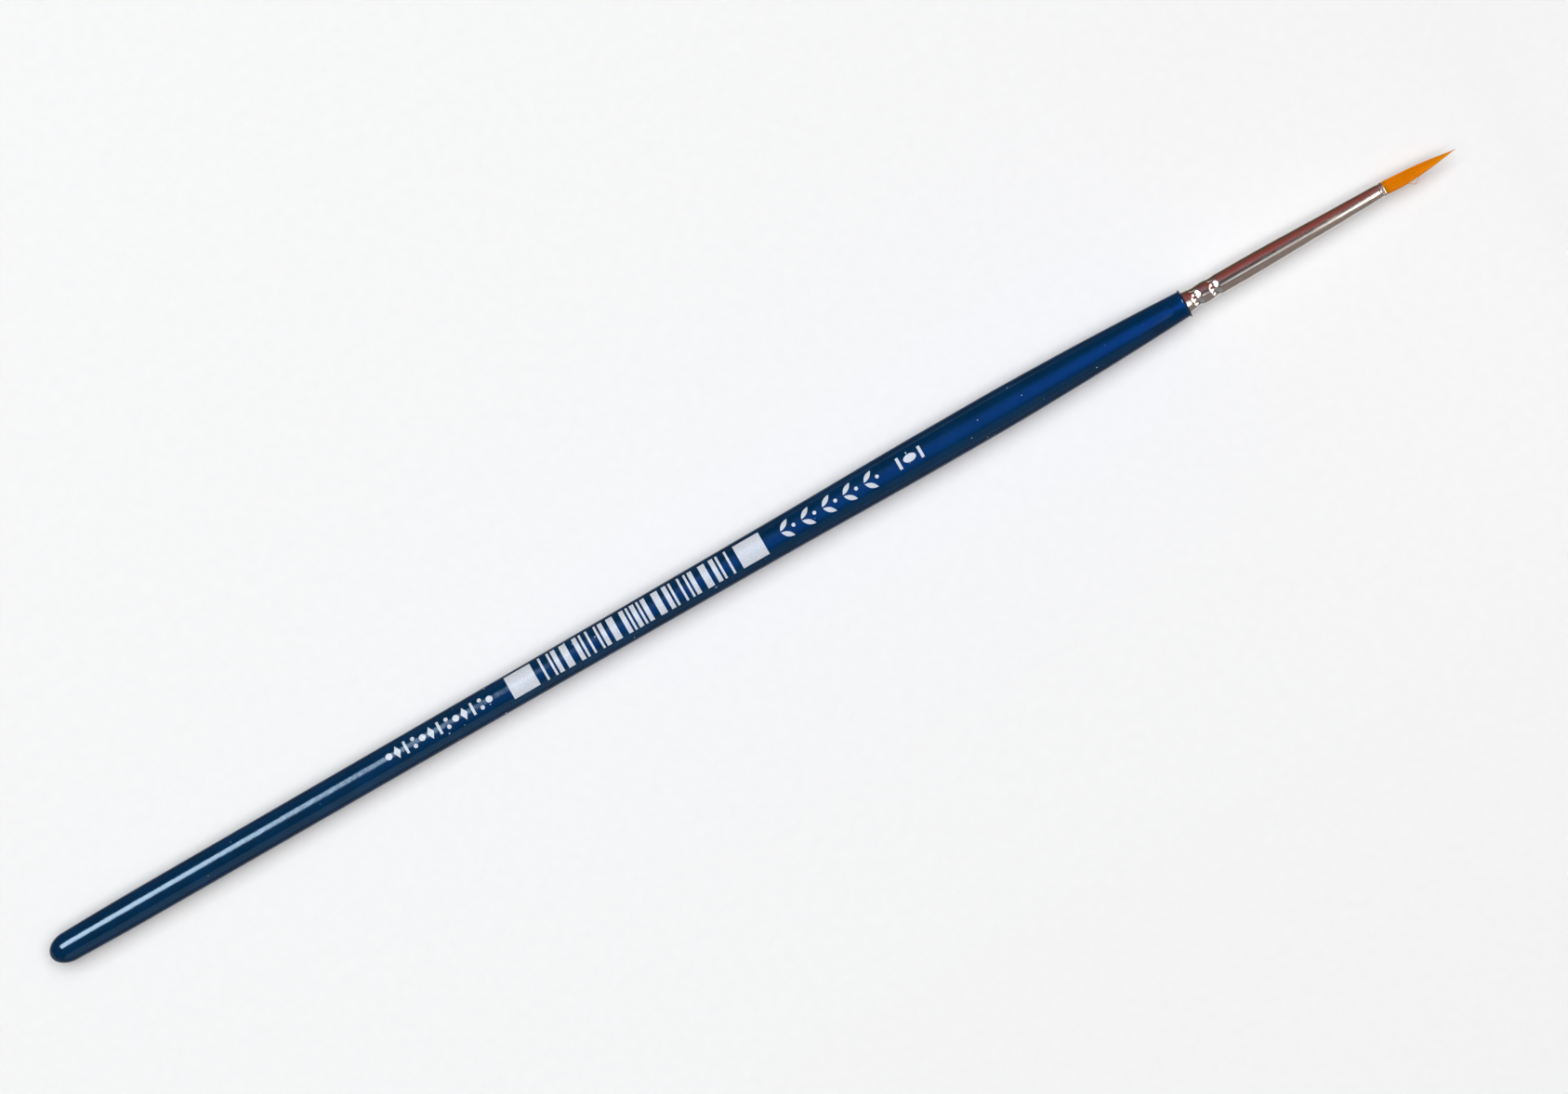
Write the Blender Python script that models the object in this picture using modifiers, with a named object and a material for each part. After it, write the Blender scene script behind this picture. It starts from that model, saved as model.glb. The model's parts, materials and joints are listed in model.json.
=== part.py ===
"""Fine detail brush: a turned wooden handle in blue lacquer, a crimped metal ferrule and a pointed tuft.

The brush lies along X with its butt at -X and its tuft at +X, resting on the belly of its handle.
Every sub-part is modelled along its own local Z, which points from the butt towards the tip, and hangs
from the empty brush_axis, which lays that Z along the world's X. A station is a distance from the butt.
"""

import math

import bpy
from mathutils import Vector

MM = 0.001
COLLECTION_NAME = "fine_detail_brush"

# Driving dimensions, in metres. Stations are measured from the butt end.
BRUSH_LENGTH = 173.9 * MM
SIDES = 24
HALF_FACET = math.pi / SIDES
RING_SPACING = 3.0 * MM

# Lacquered handle: a round butt, a slow swell to the belly, and a quicker taper to the shoulder.
BUTT_CAP_LENGTH = 2.4 * MM
BELLY_RADIUS = 2.2 * MM
BELLY_START = 109.0 * MM
BELLY_END = 116.0 * MM
HANDLE_CURVE = [
    (BUTT_CAP_LENGTH, 1.65 * MM),
    (6.5 * MM, 1.73 * MM),
    (11.0 * MM, 1.775 * MM),
    (50.0 * MM, 1.845 * MM),
    (90.0 * MM, 2.02 * MM),
    (BELLY_START, BELLY_RADIUS),
    (BELLY_END, BELLY_RADIUS),
    (125.4 * MM, 2.045 * MM),
    (135.3 * MM, 1.705 * MM),
    (140.1 * MM, 1.48 * MM),
]
SHOULDER = 140.4 * MM
LACQUER_THICKNESS = 0.1 * MM
LIP_RADIUS = 1.67 * MM
LIP_THICKNESS = 0.1 * MM
CORE_CLEARANCE = 0.03 * MM

# Ferrule: a thin tapered tube, crimped onto the tenon by two dented grooves, with a rolled mouth.
FERRULE_REAR = 140.46 * MM
FERRULE_MOUTH = 165.0 * MM
FERRULE_CURVE = [
    (FERRULE_REAR, 1.26 * MM),
    (141.0 * MM, 1.185 * MM),
    (147.3 * MM, 1.185 * MM),
    (156.3 * MM, 1.01 * MM),
    (164.6 * MM, 0.822 * MM),
    (FERRULE_MOUTH, 0.815 * MM),
]
FERRULE_WALL = 0.13 * MM
FERRULE_SIDES = 48
ROLL_RADIUS = 0.035 * MM
CRIMP_STATIONS = [141.7 * MM, 143.9 * MM]
CRIMP_ZONE = (140.9 * MM, 144.7 * MM)
CRIMP_RING_SPACING = 0.2 * MM
DENTS_PER_ROW = 8
GROOVE_WIDTH = 1.2 * MM
GROOVE_FLAT = 0.15  # share of the groove's width that is flat
GROOVE_DEPTH = 0.11 * MM
DENT_DEPTH = 0.12 * MM  # of each dent, below the floor of the groove
DENT_TURN = math.radians(8.0)  # turn of the dents from straight up, towards +Y

# Tenon of the handle inside the ferrule, squeezed to a waist under the crimp, with glue in front of it.
TENON_RADIUS = 0.92 * MM
TENON_WAIST_RADIUS = 0.66 * MM
TENON_END = 149.5 * MM
TENON_CHAMFER = 0.25 * MM
GLUE_START = 145.0 * MM
GLUE_END = 149.2 * MM
GLUE_CLEARANCE = 0.02 * MM

# Root of the tuft: the plug that locks it, the thread that binds it, and the stub that fills the mouth.
PLUG_START = 156.4 * MM
PLUG_END = 158.4 * MM
ROOT_START = 158.5 * MM
ROOT_NECK_START = 159.2 * MM
ROOT_NECK_END = 160.2 * MM
ROOT_NECK_RADIUS = 0.65 * MM
ROOT_END = 165.05 * MM
ROOT_CLEARANCE = 0.04 * MM
THREAD_RADIUS = 0.04 * MM
THREAD_TURNS = 6
THREAD_POINTS_PER_TURN = 20
THREAD_COIL_RADIUS = 0.71 * MM

# Free tuft: a round heel and a long fine point. Each piece turns on a ball-shaped rear end.
HEEL_PIVOT = 165.87 * MM
POINT_PIVOT = 168.0 * MM
BEND_GAP = 0.05 * MM
TUFT_CURVE = [
    (FERRULE_MOUTH, 0.775 * MM),
    (166.4 * MM, 0.76 * MM),
    (167.8 * MM, 0.722 * MM),
    (168.9 * MM, 0.64 * MM),
    (170.05 * MM, 0.52 * MM),
    (171.2 * MM, 0.385 * MM),
    (172.36 * MM, 0.21 * MM),
    (173.1 * MM, 0.1 * MM),
    (BRUSH_LENGTH, 0.0),
]
TUFT_RING_SPACING = 0.35 * MM
BALL_RINGS = 6

# Colours are linear RGB with roughness and metallic value.
LACQUER_BLUE = ((0.004, 0.045, 0.18), 0.22, 0.2)
LIME_WOOD = ((0.52, 0.36, 0.2), 0.65, 0.0)
NICKEL = ((0.62, 0.57, 0.54), 0.22, 1.0)
GLUE_AMBER = ((0.55, 0.38, 0.14), 0.35, 0.0)
EPOXY_GREY = ((0.3, 0.28, 0.24), 0.4, 0.0)
THREAD_WHITE = ((0.75, 0.72, 0.66), 0.8, 0.0)
HAIR_ORANGE = ((0.67, 0.19, 0.01), 0.45, 0.0)


def clear_scene():
    for old in list(bpy.data.objects):
        bpy.data.objects.remove(old, do_unlink=True)
    for old in list(bpy.data.collections):
        bpy.data.collections.remove(old)


def add_to_parts(piece):
    bpy.data.collections[COLLECTION_NAME].objects.link(piece)
    return piece


def new_material(name, look):
    colour, roughness, metallic = look
    material = bpy.data.materials.new(name)
    material.use_nodes = True
    shader = material.node_tree.nodes["Principled BSDF"]
    shader.inputs["Base Color"].default_value = (*colour, 1.0)
    shader.inputs["Roughness"].default_value = roughness
    shader.inputs["Metallic"].default_value = metallic
    return material


def slopes(points):
    """Slope at each point of a curve that never overshoots its points (monotone cubic)."""
    chords = [(b[1] - a[1]) / (b[0] - a[0]) for a, b in zip(points, points[1:])]
    inner = []
    for before, after in zip(chords, chords[1:]):
        if before * after <= 0.0:
            inner.append(0.0)
        else:
            inner.append(2.0 * before * after / (before + after))
    return [chords[0], *inner, chords[-1]]


def radius_at(points, station):
    """Radius of a turned outline at a station, on a smooth curve through its (station, radius) points."""
    tangents = slopes(points)
    last = len(points) - 2
    i = next((k for k in range(last) if station <= points[k + 1][0]), last)
    (s0, r0), (s1, r1) = points[i], points[i + 1]
    width = s1 - s0
    t = (station - s0) / width
    swing0 = tangents[i] * width
    swing1 = tangents[i + 1] * width
    h00 = (1.0 + 2.0 * t) * (1.0 - t) ** 2
    h10 = t * (1.0 - t) ** 2
    h01 = t * t * (3.0 - 2.0 * t)
    h11 = t * t * (t - 1.0)
    return h00 * r0 + h10 * swing0 + h01 * r1 + h11 * swing1


def spaced(start, end, spacing):
    """Evenly spaced stations from start to end, both included, no further apart than spacing."""
    count = max(1, math.ceil((end - start) / spacing - 1e-6))
    return [start + (end - start) * k / count for k in range(count + 1)]


def handle_outline(inset):
    """Outline of the handle set in by inset, as (radius, station) from the butt pole to the shoulder."""
    rings = 8
    cap_radius = HANDLE_CURVE[0][1] - inset
    cap_length = BUTT_CAP_LENGTH - inset
    outline = []
    for k in range(rings):
        angle = 0.5 * math.pi * k / rings
        outline.append((cap_radius * math.sin(angle), inset + cap_length * (1.0 - math.cos(angle))))
    for (start, _), (end, _) in zip(HANDLE_CURVE, HANDLE_CURVE[1:]):
        for station in spaced(start, end, RING_SPACING)[:-1]:
            outline.append((radius_at(HANDLE_CURVE, station) - inset, station))
    end_station, end_radius = HANDLE_CURVE[-1]
    outline.append((end_radius - inset, end_station))
    return outline


def turned(name, outline, origin, sides, look, closed=False, turn=HALF_FACET):
    """Solid of revolution. The outline runs down the outer side, from the tip end to the butt end."""
    mesh = bpy.data.meshes.new(name)
    points = [(radius, 0.0, station - origin) for radius, station in outline]
    edges = [(k, k + 1) for k in range(len(points) - 1)]
    if closed:
        edges.append((len(points) - 1, 0))
    mesh.from_pydata(points, edges, [])
    piece = bpy.data.objects.new(name, mesh)
    mesh.materials.append(new_material(name, look))
    screw = piece.modifiers.new("turned", "SCREW")
    screw.axis = "Z"
    screw.angle = 2.0 * math.pi
    screw.steps = sides
    screw.render_steps = sides
    screw.use_merge_vertices = True
    screw.merge_threshold = 1e-6
    screw.use_smooth_shade = False
    piece.location = (0.0, 0.0, origin)
    piece.rotation_euler = (0.0, 0.0, turn)
    return add_to_parts(piece)


def baked(piece):
    """The piece with its modifiers applied, for shaping that moves single vertices."""
    bpy.context.view_layer.update()
    graph = bpy.context.evaluated_depsgraph_get()
    piece.data = bpy.data.meshes.new_from_object(piece.evaluated_get(graph))
    piece.modifiers.clear()
    return piece


def build_handle_lacquer():
    inner = handle_outline(LACQUER_THICKNESS)
    outer = handle_outline(0.0)
    hole = FERRULE_CURVE[0][1] + CORE_CLEARANCE
    shoulder_back = SHOULDER - LACQUER_THICKNESS
    front = [
        (inner[-1][0], shoulder_back),
        (hole, shoulder_back),
        (hole, SHOULDER),
        (LIP_RADIUS, SHOULDER),
        (LIP_RADIUS, SHOULDER - 0.5 * LIP_THICKNESS),
        (outer[-1][0] + 0.5 * (LIP_RADIUS - outer[-1][0]), SHOULDER - LIP_THICKNESS),
    ]
    outline = inner + front + outer[::-1]
    return turned("handle_lacquer", outline, 0.0, SIDES, LACQUER_BLUE)


def build_handle_wood():
    body = handle_outline(LACQUER_THICKNESS + CORE_CLEARANCE)
    shoulder_face = SHOULDER - LACQUER_THICKNESS - CORE_CLEARANCE
    waist_start, waist_end = CRIMP_ZONE
    tenon = [
        (body[-1][0], shoulder_face),
        (TENON_RADIUS, shoulder_face),
        (TENON_RADIUS, FERRULE_REAR),
        (TENON_WAIST_RADIUS, waist_start),
        (TENON_WAIST_RADIUS, waist_end),
        (TENON_RADIUS, GLUE_START),
        (TENON_RADIUS, TENON_END - TENON_CHAMFER),
        (TENON_RADIUS - TENON_CHAMFER, TENON_END),
        (0.0, TENON_END),
    ]
    outline = (body + tenon)[::-1]
    return turned("handle_wood", outline, 0.0, SIDES, LIME_WOOD)


def crimp_depth(point):
    """How far the crimp presses the ferrule in at a point of its surface, in the ferrule's own frame."""
    angle = math.atan2(point.y, -point.x) - DENT_TURN
    dented = 0.5 + 0.5 * math.cos(DENTS_PER_ROW * angle)
    depth = 0.0
    for station in CRIMP_STATIONS:
        along = point.z + FERRULE_REAR - station
        reach = abs(along) / (0.5 * GROOVE_WIDTH)
        slope = min(1.0, max(0.0, (1.0 - reach) / (1.0 - GROOVE_FLAT)))
        depth += (GROOVE_DEPTH + DENT_DEPTH * dented) * slope * slope * (3.0 - 2.0 * slope)
    return depth


def build_ferrule():
    zone_start, zone_end = CRIMP_ZONE
    roll_start = FERRULE_CURVE[-2][0]
    stations = [FERRULE_REAR]
    stations += spaced(zone_start, zone_end, CRIMP_RING_SPACING)
    stations += spaced(zone_end, roll_start, RING_SPACING)[1:]
    outer = [(radius_at(FERRULE_CURVE, s), s) for s in stations]
    inner = [(radius - FERRULE_WALL, s) for radius, s in outer]
    mouth_radius = FERRULE_CURVE[-1][1]
    roll = [
        (mouth_radius + ROLL_RADIUS, roll_start + ROLL_RADIUS),
        (mouth_radius + ROLL_RADIUS, FERRULE_MOUTH - ROLL_RADIUS),
        (mouth_radius, FERRULE_MOUTH),
        (mouth_radius - FERRULE_WALL + ROLL_RADIUS, FERRULE_MOUTH),
        (mouth_radius - FERRULE_WALL, FERRULE_MOUTH - ROLL_RADIUS),
    ]
    outline = (outer + roll + inner[::-1])[::-1]
    ferrule = baked(turned("ferrule", outline, FERRULE_REAR, FERRULE_SIDES, NICKEL, closed=True, turn=0.0))
    for vertex in ferrule.data.vertices:
        depth = crimp_depth(vertex.co)
        if depth > 0.0:
            inward = Vector((vertex.co.x, vertex.co.y, 0.0)).normalized()
            vertex.co -= inward * depth
    return ferrule


def ferrule_bore(station):
    return radius_at(FERRULE_CURVE, station) - FERRULE_WALL


def build_handle_glue():
    """The sleeve of glue between the tenon and the ferrule, in front of the crimp."""
    inner = TENON_RADIUS + GLUE_CLEARANCE
    outline = [
        (ferrule_bore(GLUE_END) - GLUE_CLEARANCE, GLUE_END),
        (ferrule_bore(GLUE_START) - GLUE_CLEARANCE, GLUE_START),
        (inner, GLUE_START),
        (inner, GLUE_END),
    ]
    return turned("handle_glue", outline, GLUE_START, SIDES, GLUE_AMBER, closed=True)


def build_tuft_resin():
    """The plug of epoxy poured behind the hairs, which locks their ends in the ferrule."""
    outline = [
        (0.0, PLUG_END),
        (ferrule_bore(PLUG_END) - GLUE_CLEARANCE, PLUG_END),
        (ferrule_bore(PLUG_START) - GLUE_CLEARANCE, PLUG_START),
        (0.0, PLUG_START),
    ]
    return turned("tuft_resin", outline, PLUG_START, SIDES, EPOXY_GREY)


def build_tuft_root():
    """The bundle of hair ends inside the ferrule, drawn to a neck where the thread binds it."""
    shoulder = 0.35 * MM
    outline = [
        (0.0, ROOT_END),
        (ferrule_bore(FERRULE_MOUTH) - ROOT_CLEARANCE, ROOT_END),
        (ferrule_bore(ROOT_NECK_END + shoulder) - ROOT_CLEARANCE, ROOT_NECK_END + shoulder),
        (ROOT_NECK_RADIUS, ROOT_NECK_END),
        (ROOT_NECK_RADIUS, ROOT_NECK_START),
        (ferrule_bore(ROOT_START) - 2.0 * ROOT_CLEARANCE, ROOT_START),
        (0.0, ROOT_START),
    ]
    return turned("tuft_root", outline, ROOT_START, SIDES, HAIR_ORANGE)


def build_binding_thread():
    """The thread wound round the neck of the hair bundle."""
    curve = bpy.data.curves.new("binding_thread", "CURVE")
    curve.dimensions = "3D"
    curve.bevel_depth = THREAD_RADIUS
    curve.bevel_resolution = 2
    curve.use_fill_caps = True
    curve.materials.append(new_material("binding_thread", THREAD_WHITE))
    spline = curve.splines.new("POLY")
    count = THREAD_TURNS * THREAD_POINTS_PER_TURN
    spline.points.add(count)
    run = ROOT_NECK_END - ROOT_NECK_START - 4.0 * THREAD_RADIUS
    for k in range(count + 1):
        angle = 2.0 * math.pi * k / THREAD_POINTS_PER_TURN
        height = 2.0 * THREAD_RADIUS + run * k / count
        x = THREAD_COIL_RADIUS * math.cos(angle)
        y = THREAD_COIL_RADIUS * math.sin(angle)
        spline.points[k].co = (x, y, height, 1.0)
    thread = bpy.data.objects.new("binding_thread", curve)
    thread.location = (0.0, 0.0, ROOT_NECK_START)
    return add_to_parts(thread)


def ball_end(pivot):
    """Round rear end of a bending piece, from its widest ring on the pivot back to the pole."""
    radius = radius_at(TUFT_CURVE, pivot)
    outline = []
    for k in range(BALL_RINGS + 1):
        angle = 0.5 * math.pi * k / BALL_RINGS
        outline.append((radius * math.cos(angle), pivot - radius * math.sin(angle)))
    outline[-1] = (0.0, pivot - radius)
    return outline


def build_tuft_heel():
    """The thick part of the tuft just outside the mouth, which bends up and down on its rear end."""
    front = POINT_PIVOT - radius_at(TUFT_CURVE, POINT_PIVOT) - BEND_GAP
    stations = spaced(HEEL_PIVOT, front, TUFT_RING_SPACING)[:0:-1]
    outline = [(0.0, front)]
    outline += [(radius_at(TUFT_CURVE, s), s) for s in stations]
    outline += ball_end(HEEL_PIVOT)
    return turned("tuft_heel", outline, HEEL_PIVOT, SIDES, HAIR_ORANGE)


def build_tuft_point():
    """The tapering end of the tuft, which bends sideways on its rear end."""
    stations = spaced(POINT_PIVOT, BRUSH_LENGTH, TUFT_RING_SPACING)[-2:0:-1]
    outline = [(0.0, BRUSH_LENGTH)]
    outline += [(radius_at(TUFT_CURVE, s), s) for s in stations]
    outline += ball_end(POINT_PIVOT)
    return turned("tuft_point", outline, POINT_PIVOT, SIDES, HAIR_ORANGE)


def pivot_empty(name, station, parent):
    empty = bpy.data.objects.new(name, None)
    empty.empty_display_size = 1.0 * MM
    empty.parent = parent
    empty.location = (0.0, 0.0, station)
    return add_to_parts(empty)


def assemble():
    clear_scene()
    parts = bpy.data.collections.new(COLLECTION_NAME)
    bpy.context.scene.collection.children.link(parts)

    axis = bpy.data.objects.new("brush_axis", None)
    axis.empty_display_size = 10.0 * MM
    axis.location = (-0.5 * BRUSH_LENGTH, 0.0, BELLY_RADIUS * math.cos(HALF_FACET))
    axis.rotation_euler = (0.0, 0.5 * math.pi, 0.0)
    add_to_parts(axis)

    builders = [
        build_handle_wood,
        build_handle_lacquer,
        build_handle_glue,
        build_ferrule,
        build_tuft_resin,
        build_tuft_root,
        build_binding_thread,
    ]
    for build in builders:
        build().parent = axis

    heel_pivot = pivot_empty("tuft_bend_up_down_axis", HEEL_PIVOT, axis)
    point_pivot = pivot_empty("tuft_bend_sideways_axis", POINT_PIVOT - HEEL_PIVOT, heel_pivot)
    for pivot, build in ((heel_pivot, build_tuft_heel), (point_pivot, build_tuft_point)):
        piece = build()
        piece.parent = pivot
        piece.location = (0.0, 0.0, 0.0)


assemble()
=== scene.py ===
import json
import math
import random

import bmesh
import bpy
import numpy as np
from mathutils import Matrix, Vector, noise


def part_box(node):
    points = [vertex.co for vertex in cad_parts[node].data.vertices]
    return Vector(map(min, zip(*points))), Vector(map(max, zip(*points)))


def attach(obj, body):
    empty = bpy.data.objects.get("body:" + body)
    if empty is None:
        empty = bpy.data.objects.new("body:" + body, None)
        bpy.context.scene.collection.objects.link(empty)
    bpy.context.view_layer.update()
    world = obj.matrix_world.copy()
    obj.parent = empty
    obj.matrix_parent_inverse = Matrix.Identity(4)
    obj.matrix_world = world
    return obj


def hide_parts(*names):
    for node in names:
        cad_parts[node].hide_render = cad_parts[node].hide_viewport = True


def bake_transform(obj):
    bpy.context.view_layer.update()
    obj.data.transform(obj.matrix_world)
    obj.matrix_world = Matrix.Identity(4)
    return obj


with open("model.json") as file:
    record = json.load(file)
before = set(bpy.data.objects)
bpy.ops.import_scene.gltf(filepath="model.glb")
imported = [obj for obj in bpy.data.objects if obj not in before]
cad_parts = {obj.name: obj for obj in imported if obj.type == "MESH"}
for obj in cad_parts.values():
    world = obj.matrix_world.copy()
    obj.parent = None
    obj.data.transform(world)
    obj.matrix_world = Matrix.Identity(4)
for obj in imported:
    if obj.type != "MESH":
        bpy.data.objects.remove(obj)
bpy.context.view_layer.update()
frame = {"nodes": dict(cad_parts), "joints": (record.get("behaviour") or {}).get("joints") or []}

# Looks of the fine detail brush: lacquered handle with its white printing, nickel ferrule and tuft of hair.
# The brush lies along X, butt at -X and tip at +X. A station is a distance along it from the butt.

MM = 0.001
PER_MM = 1.0 / MM  # texture scale for one feature a millimetre
TAU = 2.0 * math.pi
TINY = 1e-9

# ---------------------------------------------------------------- places read from the frame

BUTT_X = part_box("handle_lacquer")[0].x
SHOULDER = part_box("handle_lacquer")[1].x - BUTT_X
FERRULE_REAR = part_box("ferrule")[0].x - BUTT_X
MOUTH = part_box("ferrule")[1].x - BUTT_X
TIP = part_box("tuft_point")[1].x - BUTT_X
AXIS_Z = 0.5 * (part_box("tuft_point")[0].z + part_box("tuft_point")[1].z)
PIVOTS = {joint["child"]: joint["pos_m"][0] - BUTT_X for joint in frame["joints"]}

STATION_DIGITS = 6  # rings are told apart to a micrometre
END_FACE_SLOPE = 1e-3  # a face that turns outwards less than this is on an end or on the inner side


def outer_rings(node):
    """(station, radius) of each ring on the outer side of a turned CAD node, from the butt end on."""
    mesh = frame["nodes"][node].data
    rings = {}
    for face in mesh.polygons:
        outward = Vector((0.0, face.center.y, face.center.z - AXIS_Z))
        if face.normal.dot(outward) <= END_FACE_SLOPE * outward.length:
            continue
        for index in face.vertices:
            place = mesh.vertices[index].co
            station = round(place.x - BUTT_X, STATION_DIGITS)
            radius = math.hypot(place.y, place.z - AXIS_Z)
            rings[station] = max(radius, rings.get(station, 0.0))
    return sorted(rings.items())


def smooth_outline(points, steps, from_axis=True):
    """The points of a turned outline, with steps - 1 more on a smooth curve in each gap between them.
    An outline that starts on the axis is rounded there, and any other starts off straight."""
    points = [np.array(p) for p in points]
    before = points[1] * (1.0, -1.0) if from_axis else 2.0 * points[0] - points[1]
    after = 2.0 * points[-1] - points[-2]
    padded = [before, *points, after]
    curve = []
    for p0, p1, p2, p3 in zip(padded, padded[1:], padded[2:], padded[3:]):
        for k in range(steps):
            t = k / steps
            bend = 2.0 * p0 - 5.0 * p1 + 4.0 * p2 - p3
            turn = 3.0 * (p1 - p2) + p3 - p0
            curve.append(0.5 * (2.0 * p1 + (p2 - p0) * t + bend * t * t + turn * t ** 3))
    return [tuple(p) for p in curve] + [tuple(points[-1])]


LIP_LENGTH = 0.25 * MM
HANDLE_RINGS = outer_rings("handle_lacquer")
BODY_RINGS = [ring for ring in HANDLE_RINGS if ring[0] < SHOULDER - LIP_LENGTH]
BODY_END, BODY_END_RADIUS = BODY_RINGS[-1]
HANDLE_OUTLINE = smooth_outline(BODY_RINGS, 4)
LIP_RADIUS = max(radius for station, radius in HANDLE_RINGS[-2:])


def handle_radius(station):
    return float(np.interp(station, *zip(*HANDLE_OUTLINE)))


def on_brush(station, angle, radius):
    """A point at a station, turned by angle from straight up towards +Y, at a distance from the axis."""
    return Vector((BUTT_X + station, radius * math.sin(angle), AXIS_Z + radius * math.cos(angle)))


def rising(value, low, high):
    """0 below low and 1 above high, with a smooth ramp between them."""
    t = min(1.0, max(0.0, (value - low) / (high - low)))
    return t * t * (3.0 - 2.0 * t)


def hump(value, rise, fall):
    """0 at both sides and 1 in the middle. It goes up over the span rise, and down over the span fall."""
    return rising(value, *rise) * (1.0 - rising(value, *fall))


def noise_round(angle, fineness, place):
    """Smooth noise round the brush, from about -1 to 1, with more waves to a turn the finer it is."""
    return noise.noise(Vector((fineness * math.cos(angle), fineness * math.sin(angle), place)))


# ---------------------------------------------------------------- meshes

SHARP_ANGLE = math.radians(40.0)


def placed(name, data):
    """A new object in the scene, made of that mesh, light or camera."""
    thing = bpy.data.objects.new(name, data)
    bpy.context.scene.collection.objects.link(thing)
    return thing


def new_piece(name, vertices, faces, material, smooth=True):
    mesh = bpy.data.meshes.new(name)
    mesh.from_pydata(vertices, [], faces)
    mesh.materials.append(material)
    mesh.polygons.foreach_set("use_smooth", [smooth] * len(mesh.polygons))
    mesh.update()
    return placed(name, mesh)


def turned_piece(name, outline, sides, material, shift, closed=False):
    """Solid of revolution about the brush's axis. shift(station, angle, radius) is how far a point moves out.
    An outline that isn't closed starts and ends on the axis. Its outer side runs from the butt to the tip."""
    vertices = []
    rings = []
    for station, radius in outline:
        if radius < TINY:
            rings.append([len(vertices)])
            vertices.append(on_brush(station, 0.0, 0.0))
            continue
        ring = []
        for k in range(sides):
            angle = TAU * k / sides
            ring.append(len(vertices))
            vertices.append(on_brush(station, angle, radius + shift(station, angle, radius)))
        rings.append(ring)
    pairs = list(zip(rings, rings[1:]))
    if closed:
        pairs.append((rings[-1], rings[0]))
    faces = []
    for a, b in pairs:
        for k in range(sides):
            n = (k + 1) % sides
            if len(a) == 1:
                faces.append((a[0], b[n], b[k]))
            elif len(b) == 1:
                faces.append((a[k], a[n], b[0]))
            else:
                faces.append((a[k], a[n], b[n], b[k]))
    piece = new_piece(name, vertices, faces, material)
    piece.data.set_sharp_from_angle(angle=SHARP_ANGLE)
    return piece


# ---------------------------------------------------------------- materials


def feed(tree, socket, value):
    """Links an input to an output, or sets it to a value."""
    if isinstance(value, bpy.types.NodeSocket):
        tree.links.new(value, socket)
    else:
        socket.default_value = value


def add(tree, kind, settings=None, **inputs):
    """A shader node with its settings and inputs. An input is named, or numbered as in0, in1 and so on."""
    made = tree.nodes.new(kind)
    for key, value in (settings or {}).items():
        setattr(made, key, value)
    for key, value in inputs.items():
        number = key.removeprefix("in")
        socket = made.inputs[int(number)] if number.isdigit() else made.inputs[key.replace("_", " ")]
        feed(tree, socket, value)
    return made


def set_looks(material, **inputs):
    """Feeds the inputs of a material's Principled shader."""
    shader = material.node_tree.nodes["Principled BSDF"]
    for key, value in inputs.items():
        feed(material.node_tree, shader.inputs[key.replace("_", " ")], value)


def new_material(name, **inputs):
    material = bpy.data.materials.new(name)
    material.use_nodes = True
    set_looks(material, **inputs)
    return material


def object_space(tree, along, across):
    """Object coordinates in which a texture has along features a millimetre down the brush, and across
    features a millimetre crosswise."""
    where = add(tree, "ShaderNodeTexCoord").outputs["Object"]
    scale = (along * PER_MM, across * PER_MM, across * PER_MM)
    return add(tree, "ShaderNodeMapping", Vector=where, Scale=scale).outputs["Vector"]


def grain(tree, along, across=None, detail=3.0, roughness=0.5):
    """Noise of so many features a millimetre, the same both ways if across isn't given."""
    where = object_space(tree, along, across or along)
    made = add(tree, "ShaderNodeTexNoise", Vector=where, Scale=1.0, Detail=detail, Roughness=roughness)
    return made.outputs["Fac"]


def remap(tree, value, low, high, to_low=0.0, to_high=1.0):
    span = {"From_Min": low, "From_Max": high, "To_Min": to_low, "To_Max": to_high}
    return add(tree, "ShaderNodeMapRange", Value=value, **span).outputs["Result"]


def mix_colour(tree, factor, first, second):
    """The node has a set of sockets for each type of data. These are the ones for colours."""
    return add(tree, "ShaderNodeMix", {"data_type": "RGBA"}, in0=factor, in6=first, in7=second).outputs[2]


def bump(tree, height, distance, **normal):
    """A normal tilted by a height whose 0 to 1 stands for a distance. It may be laid over another Normal."""
    made = add(tree, "ShaderNodeBump", Height=height, Distance=distance, Strength=1.0, **normal)
    return made.outputs["Normal"]


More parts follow.
